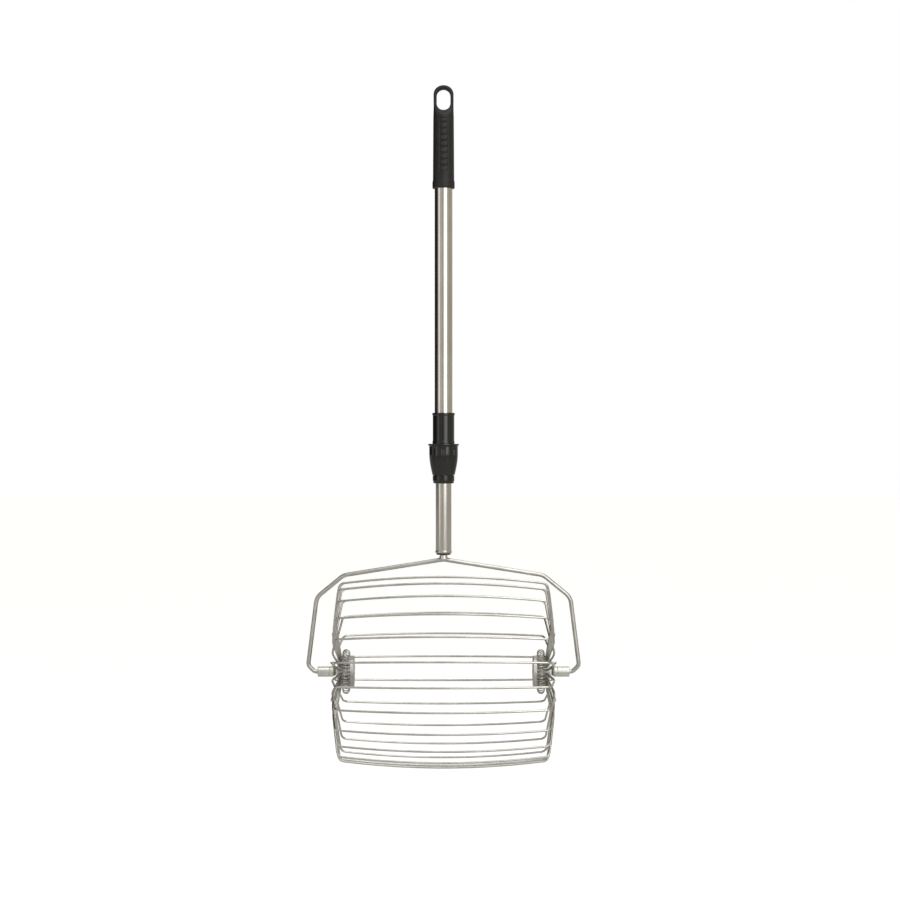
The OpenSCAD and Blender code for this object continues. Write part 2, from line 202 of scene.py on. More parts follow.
def sweep(name, path, normals, radius, sides=14, closed=False):
    """A round section swept along a path; normals are across it. The ends of an open one are domed."""
    rows, lengths, total = [], [], 0.0
    last = len(path) - 1

    def ring(i, centre, size, tangent):
        normal = normals[i] - tangent * normals[i].dot(tangent)
        normal.normalize()
        across = tangent.cross(normal)
        row = []
        for k in range(sides):
            a = 2 * math.pi * k / sides
            d = normal * math.cos(a) + across * math.sin(a)
            row.append(centre + d * size)
        rows.append(row)
        lengths.append(total * MM)

    for i, p in enumerate(path):
        if i > 0:
            total += (p - path[i - 1]).length
        if closed:
            ring(i, p, radius, (path[(i + 1) % len(path)] - path[i - 1]).normalized())
            continue
        tangent = (path[min(i + 1, last)] - path[max(i - 1, 0)]).normalized()
        if i == 0:
            for depth, size in END_ROUNDING:
                ring(i, p + tangent * radius * depth, radius * size, tangent)
        elif i == last:
            for depth, size in reversed(END_ROUNDING):
                ring(i, p - tangent * radius * depth, radius * size, tangent)
        else:
            ring(i, p, radius, tangent)
    return grid_mesh(name, rows, close_rows=closed, caps=not closed, uvs=lengths, weighted=False)


# ---- Materials ----

def nodes_of(name):
    mat = bpy.data.materials.new(name)
    mat.use_nodes = True
    tree = mat.node_tree
    tree.nodes.clear()
    out = tree.nodes.new("ShaderNodeOutputMaterial")
    shader = tree.nodes.new("ShaderNodeBsdfPrincipled")
    tree.links.new(shader.outputs["BSDF"], out.inputs["Surface"])
    return mat, tree, shader


def noise(tree, scale, stretch=(1, 1, 1), detail=3.0, uv=None):
    if uv:
        source = tree.nodes.new("ShaderNodeUVMap")
        source.uv_map = uv
        vector = source.outputs["UV"]
    else:
        source = tree.nodes.new("ShaderNodeTexCoord")
        vector = source.outputs["Object"]
    mapping = tree.nodes.new("ShaderNodeMapping")
    mapping.inputs["Scale"].default_value = stretch
    tree.links.new(vector, mapping.inputs["Vector"])
    tex = tree.nodes.new("ShaderNodeTexNoise")
    tex.inputs["Scale"].default_value = scale
    tex.inputs["Detail"].default_value = detail
    tree.links.new(mapping.outputs["Vector"], tex.inputs["Vector"])
    return tex.outputs["Fac"]


def ranged(tree, value, low_in, high_in, low_out, high_out):
    node = tree.nodes.new("ShaderNodeMapRange")
    node.inputs["From Min"].default_value = low_in
    node.inputs["From Max"].default_value = high_in
    node.inputs["To Min"].default_value = low_out
    node.inputs["To Max"].default_value = high_out
    tree.links.new(value, node.inputs["Value"])
    return node.outputs["Result"]


def two_tone(tree, shader, value, first, second):
    mix = tree.nodes.new("ShaderNodeMix")
    mix.data_type = "RGBA"
    mix.inputs["A"].default_value = (*first, 1)
    mix.inputs["B"].default_value = (*second, 1)
    tree.links.new(ranged(tree, value, 0.35, 0.65, 0, 1), mix.inputs["Factor"])
    tree.links.new(mix.outputs["Result"], shader.inputs["Base Color"])


def bumped(tree, shader, height, distance, strength):
    bump = tree.nodes.new("ShaderNodeBump")
    bump.inputs["Distance"].default_value = distance
    bump.inputs["Strength"].default_value = strength
    tree.links.new(height, bump.inputs["Height"])
    tree.links.new(bump.outputs["Normal"], shader.inputs["Normal"])


def metal(name, first, second, rough, streak_scale, stretch, uv=None, strength=0.4):
    """Metal with a two-tone tint, streaks in its roughness and a fine bump along them."""
    mat, tree, shader = nodes_of(name)
    shader.inputs["Metallic"].default_value = 1.0
    streaks = noise(tree, streak_scale, stretch, detail=4, uv=uv)
    cloud = noise(tree, 35, detail=2)
    two_tone(tree, shader, cloud, first, second)
    tree.links.new(ranged(tree, streaks, 0.3, 0.7, rough[0], rough[1]), shader.inputs["Roughness"])
    bumped(tree, shader, streaks, 0.00002, strength)
    return mat


def plastic(name, first, second, rough, grain_scale, bump, strength, specular=0.5):
    """Plastic with a two-tone tint and a fine grain in its roughness and its bump."""
    mat, tree, shader = nodes_of(name)
    shader.inputs["Specular IOR Level"].default_value = specular
    grain = noise(tree, grain_scale, detail=3)
    cloud = noise(tree, 60, detail=2)
    two_tone(tree, shader, cloud, first, second)
    tree.links.new(ranged(tree, grain, 0.3, 0.7, rough[0], rough[1]), shader.inputs["Roughness"])
    bumped(tree, shader, grain, bump, strength)
    return mat


# Each material's two tints and its range of roughness, then its pattern and its bump
MATERIALS = {
    "black_grip": plastic(
        "grip_plastic", (0.009, 0.0088, 0.0085), (0.014, 0.0135, 0.013), (0.45, 0.58),
        2600, 0.0001, 0.45, 0.4),
    "black_lock": plastic(
        "lock_plastic", (0.004, 0.0042, 0.004), (0.007, 0.0072, 0.007), (0.1, 0.17),
        900, 0.00003, 0.15, 0.6),
    "polished_tube": metal(
        "polished_tube", (0.63, 0.60, 0.555), (0.68, 0.655, 0.61), (0.1, 0.17),
        260, (9, 9, 0.12), strength=0.03),
    "plated_rod": metal(
        "zinc_rod", (0.50, 0.495, 0.47), (0.60, 0.60, 0.57), (0.24, 0.36),
        1.0, (30, 110, 1), uv="along"),
    "plated_fitting": metal(
        "zinc_fitting", (0.66, 0.66, 0.61), (0.74, 0.74, 0.70), (0.22, 0.32),
        300, (8, 1, 1)),
    "hub_metal": metal(
        "hub_zinc", (0.47, 0.46, 0.44), (0.57, 0.565, 0.545), (0.32, 0.44),
        700, (1, 1, 1)),
    "cage_wire": metal(
        "cage_wire", (0.50, 0.49, 0.465), (0.62, 0.615, 0.59), (0.2, 0.32),
        1.0, (18, 130, 1), uv="along"),
    "spring_wire": metal(
        "spring_wire", (0.50, 0.49, 0.46), (0.60, 0.59, 0.56), (0.2, 0.32),
        1.0, (9, 220, 1), uv="along"),
    "white_nylon": plastic(
        "nylon", (0.80, 0.80, 0.77), (0.86, 0.86, 0.83), (0.36, 0.46),
        1500, 0.00003, 0.3),
    "black_rubber": plastic(
        "rubber", (0.02, 0.02, 0.02), (0.028, 0.028, 0.027), (0.6, 0.72),
        1800, 0.00006, 0.4),
}


def place(obj, body, slot, *replaced):
    """The piece takes the slot's material, rides on its body and stands for those CAD nodes."""
    obj.data.materials.clear()
    obj.data.materials.append(MATERIALS[slot])
    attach(obj, body)
    if replaced:
        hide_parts(*replaced)


def smoothstep(a, b, x):
    t = min(1.0, max(0.0, (x - a) / (b - a)))
    return t * t * (3 - 2 * t)


# ---- Grip ----

EYE_W = 19.2
EYE_H = 29.5
LOOP_T = 14.0
LOOP_WALL = 4.4
LOOP_TOP = high("grip", 2)
SLEEVE_TOP = high("upper_tube", 2) + 2
GRIP_BOTTOM = low("grip", 2)
SLEEVE_R = high("grip", 0)
SLEEVE_TOP_R = SLEEVE_R - 1.2
RIB_PITCH = 8.6
RIBS = 9
PANEL_TOP = SLEEVE_TOP - 1.5
PANEL_BOTTOM = PANEL_TOP - RIBS * RIB_PITCH + 1.5
PANEL_HALF_W = 6.4
SLEEVE_SIDES = 176
# How far the sleeve's columns are drawn together over the thumb panels
COLUMN_SHIFT = 0.28
LOOP_ROUNDING = 1.9
EYE_PLAY = 0.4
NECK_LEVELS = 22
NECK_INSET = 0.03
VOXEL = 0.45


def sleeve_radius(z):
    """The sleeve's plain radius at a height: slightly conical, with a collar at the bottom."""
    down = (SLEEVE_TOP - z) / (SLEEVE_TOP - GRIP_BOTTOM - 12)
    cone = SLEEVE_TOP_R + (SLEEVE_R - 0.7 - SLEEVE_TOP_R) * down
    collar = 1 - smoothstep(GRIP_BOTTOM + 9, GRIP_BOTTOM + 12, z)
    edge = max(0.0, GRIP_BOTTOM + 1 - z)
    return cone + (SLEEVE_R - cone) * collar - (1 - math.sqrt(max(0.0, 1 - edge * edge)))


def rib_relief(x, z):
    """How far the thumb panel's floor and bars stand in from or out of the sleeve."""
    inside = smoothstep(0, 0.9, PANEL_HALF_W - abs(x)) * smoothstep(0, 1.2, PANEL_TOP - z)
    inside *= smoothstep(0, 1.2, z - PANEL_BOTTOM)
    phase = (PANEL_TOP - 0.9 - z) / RIB_PITCH % 1.0
    bar = smoothstep(0.06, 0.26, phase) * (1 - smoothstep(0.56, 0.76, phase))
    bar *= smoothstep(0, 1.0, PANEL_HALF_W - 1.0 - abs(x))
    return inside * (-0.75 + 1.15 * bar)


def grip_sleeve():
    zs = [GRIP_BOTTOM + v for v in (0, 0.08, 0.3, 0.6, 1.0)]
    z = GRIP_BOTTOM + 1.7
    while z < SLEEVE_TOP + 2.4:
        zs.append(z)
        z += 0.62 if z > PANEL_BOTTOM - 2 else 1.4
    angles = [2 * math.pi * k / SLEEVE_SIDES for k in range(SLEEVE_SIDES)]
    angles = [a + COLUMN_SHIFT * math.sin(2 * a) for a in angles]
    rows = []
    for z in zs:
        row = []
        for a in angles:
            r = sleeve_radius(z)
            r += rib_relief(r * math.cos(a), z)
            row.append((r * math.cos(a), r * math.sin(a), z))
        rows.append(row)
    bore = [
        [(UPPER_R * math.cos(a), UPPER_R * math.sin(a), z) for a in angles]
        for z in (high("upper_tube", 2), GRIP_BOTTOM)
    ]
    return grid_mesh("grip_sleeve", bore + rows, caps=True, weighted=False)


def superellipse(hx, hy, power, z, count=96):
    row = []
    for k in range(count):
        a = 2 * math.pi * k / count
        c, s = math.cos(a), math.sin(a)
        row.append((
            hx * math.copysign(abs(c) ** (2 / power), c),
            hy * math.copysign(abs(s) ** (2 / power), s),
            z,
        ))
    return row


def stadium_path(w, h, count=24):
    """Points round a stadium in the XZ plane, centred on the eye."""
    half = (h - w) / 2
    points = []
    for k in range(2 * count):
        a = math.pi * k / count
        middle = half if k < count else -half
        points.append(Vector((w / 2 * math.cos(a), 0, w / 2 * math.sin(a) + middle)))
        if k == count - 1:
            points.append(Vector((-w / 2, 0, half)))
    points.append(Vector((w / 2, 0, -half)))
    return points


def grip_loop():
    """The loop and the neck below it, merged into one soft moulded form."""
    mid = stadium_path(EYE_W + LOOP_WALL, EYE_H + LOOP_WALL)
    top_wall = LOOP_TOP - EYE_H / 2
    half_wall, half_t = LOOP_WALL / 2, LOOP_T / 2
    corners = [(half_wall, -half_t), (half_wall, half_t), (-half_wall, half_t), (-half_wall, -half_t)]
    section = rounded(corners, [LOOP_ROUNDING] * 4, closed=True, step=15)
    rows = []
    for i, p in enumerate(mid):
        tangent = (mid[(i + 1) % len(mid)] - mid[i - 1]).normalized()
        out = tangent.cross(Vector((0, 1, 0))).normalized()
        if out.dot(Vector((p.x, 0, p.z))) < 0:
            out.negate()
        grow = 1 + (top_wall / LOOP_WALL - 1) * smoothstep(4, 14, p.z)
        rows.append([
            p + out * ((q.x + LOOP_WALL / 2) * grow - LOOP_WALL / 2) + Vector((0, q.y, 0))
            for q in section
        ])
    ring = grid_mesh("grip_ring", rows, close_rows=True, weighted=False)

    levels = []
    for k in range(NECK_LEVELS):
        z = SLEEVE_TOP - 3 + k
        t = smoothstep(SLEEVE_TOP - 0.5, SLEEVE_TOP + 13.5, z)
        wide = SLEEVE_TOP_R - NECK_INSET + (EYE_W / 2 + LOOP_WALL - SLEEVE_TOP_R) * t
        deep = SLEEVE_TOP_R - NECK_INSET + (LOOP_T / 2 - SLEEVE_TOP_R) * t
        levels.append(superellipse(wide, deep, 2 + 2.2 * t, z))
    neck = grid_mesh("grip_neck", levels, caps=True, weighted=False)

    eye = stadium_path(EYE_W + EYE_PLAY, EYE_H + EYE_PLAY)
    faces = [[p + Vector((0, y, 0)) for p in eye] for y in (-30, 30)]
    cutter = grid_mesh("grip_eye", faces, caps=True, weighted=False)
    cut = neck.modifiers.new("cut", "BOOLEAN")
    cut.operation = "DIFFERENCE"
    cut.solver = "EXACT"
    cut.object = cutter
    join = neck.modifiers.new("join", "BOOLEAN")
    join.operation = "UNION"
    join.solver = "EXACT"
    join.object = ring
    remesh = neck.modifiers.new("remesh", "REMESH")
    remesh.mode = "VOXEL"
    remesh.voxel_size = VOXEL * MM
    remesh.use_smooth_shade = True
    smooth = neck.modifiers.new("smooth", "SMOOTH")
    smooth.factor = 0.5
    smooth.iterations = 8
    graph = bpy.context.evaluated_depsgraph_get()
    mesh = bpy.data.meshes.new_from_object(neck.evaluated_get(graph))
    for polygon in mesh.polygons:
        polygon.use_smooth = True
    merged = bpy.data.objects.new("grip_loop", mesh)
    bpy.context.scene.collection.objects.link(merged)
    for obj in (neck, ring, cutter):
        bpy.data.objects.remove(obj)
    return merged


place(grip_sleeve(), "pole", "black_grip", "grip")
place(grip_loop(), "pole", "black_grip", "grip")


# ---- Tubes ----

def tube_outline(r, bore_r, bottom, top):
    return [(bore_r, bottom), (r, bottom), (r, top), (bore_r, top)]


upper = tube_outline(UPPER_R, UPPER_R - TUBE_WALL, low("upper_tube", 2), high("upper_tube", 2))
skin = lathe("upper_tube_skin", upper, [0.1, 0.3, 0.3, 0.1], sides=TUBE_SIDES)
place(skin, "pole", "polished_tube", "upper_tube")

LOWER_BOTTOM = low("lower_tube", 2)
LOWER_TOP = high("lower_tube", 2)
lower = [
    (LOWER_R - TUBE_WALL, LOWER_BOTTOM), (LOWER_RIM_R, LOWER_BOTTOM),
    (LOWER_RIM_R, LOWER_BOTTOM + RIM_ROLL_H), (LOWER_R, LOWER_BOTTOM + RIM_ROLL_H),
    (LOWER_R, LOWER_TOP), (LOWER_R - TUBE_WALL, LOWER_TOP),
]
skin = lathe("lower_tube_skin", lower, [0.2, 0.65, 0.65, 0.4, 0.3, 0.1], sides=TUBE_SIDES)
place(skin, "lower_pole", "polished_tube", "lower_tube")


# ---- Twist lock ----

SOCKET_TOP = high("lock_socket", 2)
SPIGOT_BOTTOM = low("lock_socket", 2)
NUT_TOP = high("lock_nut", 2)
NUT_BOTTOM = low("lock_nut", 2)
SOCKET_BOTTOM = NUT_TOP + FREE_GAP
SOCKET_R = high("lock_socket", 0)
SPIGOT_R = UPPER_R + 2.5
SPIGOT_BORE_R = LOWER_R + 2.8
COLLET_R = LOWER_R + 2.5
FOOT_R = high("lock_collet", 0)
FOOT_BOTTOM = low("lock_collet", 2)
NUT_R = high("lock_nut", 0)

socket = [
    (UPPER_R + 0.03, SOCKET_TOP), (SOCKET_R, SOCKET_TOP),
    (SOCKET_R, SOCKET_TOP - 3), (SOCKET_R - 0.7, SOCKET_TOP - 4),
    (SOCKET_R - 0.7, SOCKET_BOTTOM + 4), (SOCKET_R - 0.2, SOCKET_BOTTOM + 3),
    (SOCKET_R - 0.2, SOCKET_BOTTOM), (SPIGOT_R, SOCKET_BOTTOM),
    (SPIGOT_R, SPIGOT_BOTTOM), (SPIGOT_BORE_R, SPIGOT_BOTTOM),
    (SPIGOT_BORE_R, SOCKET_BOTTOM + 1), (LOWER_R + 0.5, SOCKET_BOTTOM + 1),
    (LOWER_R + 0.5, SOCKET_BOTTOM + 3), (UPPER_R + 0.03, SOCKET_BOTTOM + 3),
]
socket_radii = [0.2, 0.8, 0.8, 0.6, 0.6, 0.5, 0.25, 0, 0.3, 0.3, 0, 0, 0, 0]
place(lathe("lock_socket_skin", socket, socket_radii), "pole", "black_lock", "lock_socket")

LOBES = 8
VALLEY_DEPTH = 1.3


def nut_shape(a, r, h):
    """The nut's outside: broad lobes with narrow valleys, whose rounded tips end above the collar."""
    if r < FOOT_R + 0.5:
        return r
    t = (NUT_TOP - h) / (NUT_TOP - NUT_BOTTOM)
    phase = (a / (2 * math.pi) * LOBES) % 1.0
    off = abs(phase - 0.5) * 2
    valley = smoothstep(0.55, 1.0, off) ** 1.5
    start = smoothstep(0.06, 0.16, t)
    crown = 0.25 * (1 - off * off)
    return r - start * (VALLEY_DEPTH * valley - crown * 0.5) - 0.1 * start


NUT_FOOT_R = FOOT_R + 0.4
NUT_H = NUT_TOP - NUT_BOTTOM
NUT_STRAIGHT = 0.35
NUT_STEPS = 28
nut_profile = [
    (SPIGOT_R + RUNNING_GAP, NUT_TOP), (NUT_R, NUT_TOP),
    (NUT_R, NUT_TOP - 1.8), (NUT_R - 1.3, NUT_TOP - 2.6),
]
for k in range(NUT_STEPS + 1):
    t = 0.08 + 0.9 * k / NUT_STEPS
    taper = max(0.0, (t - NUT_STRAIGHT) / (0.98 - NUT_STRAIGHT)) ** 1.6
    nut_profile.append((NUT_R - 1.4 - (NUT_R - 1.4 - NUT_FOOT_R - 0.3) * taper, NUT_TOP - NUT_H * t))
nut_profile += [
    (NUT_FOOT_R - 0.2, NUT_BOTTOM), (COLLET_R + FREE_GAP, NUT_BOTTOM),
    (COLLET_R + FREE_GAP, SPIGOT_BOTTOM - 2), (SPIGOT_R + RUNNING_GAP, SPIGOT_BOTTOM - 2),
]
nut_radii = [0.2, 0.7, 0.4, 0.3] + [0] * (NUT_STEPS + 1) + [0.4, 0.2, 0, 0]
skin = lathe("lock_nut_skin", nut_profile, nut_radii, sides=192, shape=nut_shape)
place(skin, "lock", "black_lock", "lock_nut")

foot_top = NUT_BOTTOM - FREE_GAP
foot = [
    (LOWER_R + RUNNING_GAP, foot_top + SKIN_GAP), (FOOT_R, foot_top + SKIN_GAP),
    (FOOT_R, FOOT_BOTTOM + 4), (FOOT_R - 0.8, FOOT_BOTTOM + 2.5),
    (FOOT_R - 0.8, FOOT_BOTTOM), (LOWER_R + RUNNING_GAP, FOOT_BOTTOM),
]
place(lathe("lock_collet_foot", foot, [0.1, 0.7, 0.8, 0.8, 1.4, 0.3]), "pole", "black_lock", "lock_collet")
collet_top = high("lock_collet", 2)
sleeve = tube_outline(COLLET_R, LOWER_R + RUNNING_GAP, foot_top - 1, collet_top)
place(lathe("lock_collet_sleeve", sleeve, [0.1, 0.3, 0.8, 0.3]), "pole", "black_lock", "lock_collet")


# ---- Yoke ----

ROD_Z = low("yoke_stud", 2) + 0.5
HALF_W = high("yoke_rod", 0) - ROD_R
CORNER_CUT = 9
SHOULDER_DROP = 22
AXLE_END_U = 124
AXLE_BEND = 8
ROD_BEND = 20
yoke_half = [
    (-AXLE_END_U, AXLE_Z), (-(HALF_W - CORNER_CUT), AXLE_Z),
    (-HALF_W, AXLE_Z + CORNER_CUT), (-(HALF_W - 12), ROD_Z - SHOULDER_DROP - 31),
    (-(HALF_W - 50), ROD_Z - SHOULDER_DROP),
]
yoke = yoke_half + [(0, ROD_Z)] + [(-x, z) for x, z in reversed(yoke_half)]
yoke_bends = [0, AXLE_BEND, AXLE_BEND] + [ROD_BEND] * 5 + [AXLE_BEND, AXLE_BEND, 0]
yoke_path = [Vector((p.x, 0, p.y)) for p in even(rounded(yoke, yoke_bends, step=5), 8)]
skin = sweep("yoke_rod_skin", yoke_path, [Vector((0, 1, 0))] * len(yoke_path), ROD_R, sides=24)
place(skin, "lower_pole", "plated_rod", "yoke_rod")

STUD_R = high("yoke_stud", 0)
STUD_TOP = high("yoke_stud", 2)
# The weld bead is drawn over this many levels, a little apart
BEAD_LEVELS = 16
BEAD_STEP = 0.4
STUD_CORE_R = 0.001


def weld_shape(a, r, h):
    """A low uneven bead where the stud meets the rod."""
    if r < 1:
        return r
    bead = math.exp(-((h - ROD_Z - 1.6) / 1.5) ** 2)
    return r + bead * (0.8 + 0.16 * math.sin(7 * a) + 0.1 * math.sin(11 * a + 1.3))


stud = [(STUD_CORE_R, ROD_Z - 1.2), (STUD_R - 0.6, ROD_Z - 1.2)]
stud += [(STUD_R, ROD_Z - 0.6 + BEAD_STEP * k) for k in range(BEAD_LEVELS)]
stud += [(STUD_R, STUD_TOP), (STUD_CORE_R, STUD_TOP)]
stud_radii = [0] * (BEAD_LEVELS + 2) + [0.6, 0]
skin = lathe("yoke_stud_skin", stud, stud_radii, sides=96, shape=weld_shape)
place(skin, "lower_pole", "plated_fitting", "yoke_stud")

plug = tube_outline(LOWER_R - TUBE_WALL, STUD_R + SKIN_GAP, low("tube_plug", 2), high("tube_plug", 2))
place(lathe("tube_plug_skin", plug, [0.4, 1.0, 0.6, 0.2]), "lower_pole", "black_grip", "tube_plug")


# ---- Ends of the axle and hubs, one to each side ----

HUB_IN = low("right_hub_core", 0)
HUB_FACE = high("right_hub_core", 0)
LIP_OUT_R = high("right_hub_core", 1)
LIP_IN_R = LIP_OUT_R - 1.6
LIP_H = 5.5
WEB = 1.2
TAIL_R = LIP_IN_R - 0.35 - WIRE_R
BOSS_R = TAIL_R - WIRE_R - 0.3
BUSH_R = 4.0
CAP_R = high("right_hub_cap", 1)
CAP_OUT = high("right_hub_cap", 0)
CAP_BEAD = 0.2
BUSH_END = high("right_bush", 0)
FLANGE_R = high("right_bush", 1)
FERRULE_IN = low("right_ferrule", 0)
FERRULE_OUT = high("right_ferrule", 0)
FERRULE_R = high("right_ferrule", 1)
SEAL_IN = low("right_seal", 0)
SEAL_OUT = high("right_seal", 0)
SEAL_R = high("right_seal", 1)
CAGE_HALF_L = 145.5
LEG_BULGE = 6.0
LEG_MID_U = CAGE_HALF_L + LEG_BULGE + 1
CAGE_R = 132.5
SPIDER_H = 2.8
SPIDER_OUT = CAP_OUT + SPIDER_H
RING_U = CAP_OUT + SPIDER_H / 2
RING_R = BUSH_R + 5
CAGE_BOW = 8.5
LEG_MID_R = CAGE_R * 0.52
FINGERS = 6
FINGER_R = 1.1

# The garter spring, which lies round the tails of the wires
COIL_R = 5.3
COIL_WIRE_R = 0.6
COIL_MEAN_R = COIL_R - COIL_WIRE_R
COIL_TURNS = 36
GARTER_R = TAIL_R + WIRE_R + FREE_GAP + COIL_R
GARTER_U = HUB_IN + LIP_H + FREE_GAP + COIL_R
TAIL_BEND_U = GARTER_U + COIL_R + FREE_GAP + WIRE_R + 0.2


def on_axle(mirror, r, angle, u):
    """A point near an end of the axle. Angle 0 is straight down and 90 degrees is to the back."""
    a = math.radians(angle)
    return Vector((mirror * u, r * math.sin(a), AXLE_Z - r * math.cos(a)))


def garter_spring(name, mirror):
    steps_per_turn = 20
    path, normals = [], []
    for i in range(COIL_TURNS * steps_per_turn):
        phase = 2 * math.pi * i / steps_per_turn
        ring = 360 * i / (COIL_TURNS * steps_per_turn)
        r = GARTER_R + COIL_MEAN_R * math.sin(phase)
        here = on_axle(mirror, r, ring, GARTER_U + COIL_MEAN_R * math.cos(phase))
        path.append(here)
        normals.append(here - on_axle(mirror, GARTER_R, ring, GARTER_U))
    return sweep(name, path, normals, COIL_WIRE_R, sides=8, closed=True)


def spider(name, mirror):
    ring = tube_outline(RING_R, BUSH_R, CAP_OUT, SPIDER_OUT)
    parts = [lathe(name + "_ring", ring, [0, 0.9, 0.9, 0.4], axis="X", mirror=mirror, sides=72)]
    tip_r, tip_u = LEG_MID_R - 13, LEG_MID_U + 3
    flat = rounded(
        [(RING_R - 1.5, RING_U), (RING_R + 8, RING_U), (tip_r, tip_u), (tip_r + 0.8, tip_u - 7.5)],
        [0, 14, 2.6, 0], step=8)
    flat = even(flat, 3)
    for k in range(FINGERS):
        angle = WIRE_PHASE + (WIRES // FINGERS * k + 0.5) * WIRE_STEP
        path = [on_axle(mirror, p.x, angle, p.y) for p in flat]
        side = on_axle(mirror, 1, angle + 90, 0) - on_axle(mirror, 0, 0, 0)
        parts.append(sweep(f"{name}_finger_{k + 1}", path, [side] * len(path), FINGER_R, sides=12))
    return parts


for side, mirror in (("left", -1), ("right", 1)):
    def turned(piece, outline, radii, sides=112):
        return lathe(f"{side}_{piece}", outline, radii, axis="X", mirror=mirror, sides=sides)

    place(turned("ferrule_skin", [
        (ROD_R + SKIN_GAP, FERRULE_IN), (FERRULE_R - 1.2, FERRULE_IN),
        (FERRULE_R, FERRULE_IN + 2.4), (FERRULE_R, FERRULE_IN + 6),
        (FERRULE_R - 0.45, FERRULE_IN + 6.6), (FERRULE_R, FERRULE_IN + 7.2),
        (FERRULE_R, FERRULE_OUT), (ROD_R + SKIN_GAP, FERRULE_OUT),
    ], [0.2, 0.8, 1.6, 0.2, 0.3, 0.2, 1.0, 0.3]), "lower_pole", "plated_fitting", f"{side}_ferrule")
    seal = tube_outline(SEAL_R, ROD_R + SKIN_GAP, SEAL_IN, SEAL_OUT)
    skin = turned("seal_skin", seal, [0.2, 0.6, 0.6, 0.2], 64)
    place(skin, "lower_pole", "black_rubber", f"{side}_seal")
    place(turned("bush_skin", [
        (ROD_R + RUNNING_GAP, HUB_IN), (BUSH_R, HUB_IN), (BUSH_R, SPIDER_OUT),
        (FLANGE_R, SPIDER_OUT), (FLANGE_R, BUSH_END), (ROD_R + RUNNING_GAP, BUSH_END),
    ], [0.1, 0.2, 0, 0.3, 1.0, 0.3], 72), "drum", "white_nylon", f"{side}_bush")
    place(turned("hub_core_skin", [
        (BUSH_R, HUB_IN), (LIP_OUT_R, HUB_IN), (LIP_OUT_R, HUB_IN + LIP_H), (LIP_IN_R, HUB_IN + LIP_H),
        (LIP_IN_R, HUB_IN + WEB), (BOSS_R, HUB_IN + WEB), (BOSS_R, HUB_FACE), (BUSH_R, HUB_FACE),
    ], [0.2, 0.9, 0.5, 0.4, 0.3, 0.4, 0.3, 0.2]), "drum", "hub_metal", f"{side}_hub_core")
    cap_low = CAP_OUT - CAP_BEAD
    place(turned("hub_cap_skin", [
        (BUSH_R, HUB_FACE), (CAP_R, HUB_FACE), (CAP_R, cap_low), (CAP_R - 1.8, cap_low),
        (CAP_R - 2.4, CAP_OUT), (CAP_R - 4.4, CAP_OUT), (CAP_R - 5.0, cap_low), (BUSH_R, cap_low),
    ], [0.1, 0.3, 0.6, 0.4, 0.4, 0.4, 0.4, 0.1]), "drum", "hub_metal", f"{side}_hub_cap")
    place(garter_spring(f"{side}_garter_skin", mirror), "drum", "spring_wire", f"{side}_garter_spring")
    for part in spider(f"{side}_spider_skin", mirror):
        place(part, "drum", "cage_wire", f"{side}_spider")


# ---- Cage wires, each on its own body ----

END_R = CAGE_R - CAGE_BOW
CROWN_R = CAGE_R + 0.9 * CAGE_BOW
BOW_BEND = 0.9 * CAGE_HALF_L ** 2 / (2 * CAGE_BOW)
TAIL_IN = HUB_IN + WEB + FREE_GAP
wire_half = [(-TAIL_IN, TAIL_R), (-TAIL_BEND_U, TAIL_R), (-LEG_MID_U, LEG_MID_R), (-CAGE_HALF_L, END_R)]
wire_flat = wire_half + [(0, CROWN_R)] + [(-u, r) for u, r in reversed(wire_half)]
wire_bends = [0, 3.4, 60, 9, BOW_BEND, 9, 60, 3.4, 0]
wire_flat = even(rounded(wire_flat, wire_bends, step=6, chord=8), 8)
for i in range(1, WIRES + 1):
    angle = WIRE_PHASE + (i - 1) * WIRE_STEP
    path = [on_axle(1, p.y, angle, p.x) for p in wire_flat]
    side = on_axle(1, 1, angle + 90, 0) - on_axle(1, 0, 0, 0)
    skin = sweep(f"cage_wire_{i}_skin", path, [side] * len(path), WIRE_R)
    place(skin, f"wire_{i}", "cage_wire", f"cage_wire_{i}")

# The one CAD node that stays as it is, inside the pole, only takes a material
guide_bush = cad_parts["guide_bush"]
guide_bush.data.materials.clear()
guide_bush.data.materials.append(MATERIALS["white_nylon"])


# ---- Floor, light and camera ----

BACKGROUND_GLOW = 1.0
FLOOR_GLOW = 0.6
# How far the cage goes down as the pole is drawn out, and a little more for a wire that spreads
FLOOR_DROP = 0.25
FLOOR_HALF = 30.0


def stage_floor():
    """A pale floor where the cage ends with the pole drawn out, which glows towards the camera alone."""
    floor_z = cad_box[0][2] - FLOOR_DROP
    mat, tree, shader = nodes_of("floor_paper")
    grain = noise(tree, 6, detail=2)
    two_tone(tree, shader, grain, (0.72, 0.72, 0.715), (0.75, 0.75, 0.745))
    shader.inputs["Roughness"].default_value = 0.9
    shader.inputs["Specular IOR Level"].default_value = 0.1
    path = tree.nodes.new("ShaderNodeLightPath")
    glow = tree.nodes.new("ShaderNodeEmission")
    tree.links.new(ranged(tree, path.outputs["Is Camera Ray"], 0, 1, 0, FLOOR_GLOW), glow.inputs["Strength"])
    both = tree.nodes.new("ShaderNodeAddShader")
    tree.links.new(shader.outputs["BSDF"], both.inputs[0])
    tree.links.new(glow.outputs["Emission"], both.inputs[1])
    out = next(n for n in tree.nodes if n.type == "OUTPUT_MATERIAL")
    tree.links.new(both.outputs[0], out.inputs["Surface"])
    mesh = bpy.data.meshes.new("floor")
    corners = [(-1, -1), (1, -1), (1, 1), (-1, 1)]
    mesh.from_pydata([(x * FLOOR_HALF, y * FLOOR_HALF, floor_z) for x, y in corners], [], [(0, 1, 2, 3)])
    floor = bpy.data.objects.new("floor", mesh)
    floor.data.materials.append(mat)
    bpy.context.scene.collection.objects.link(floor)


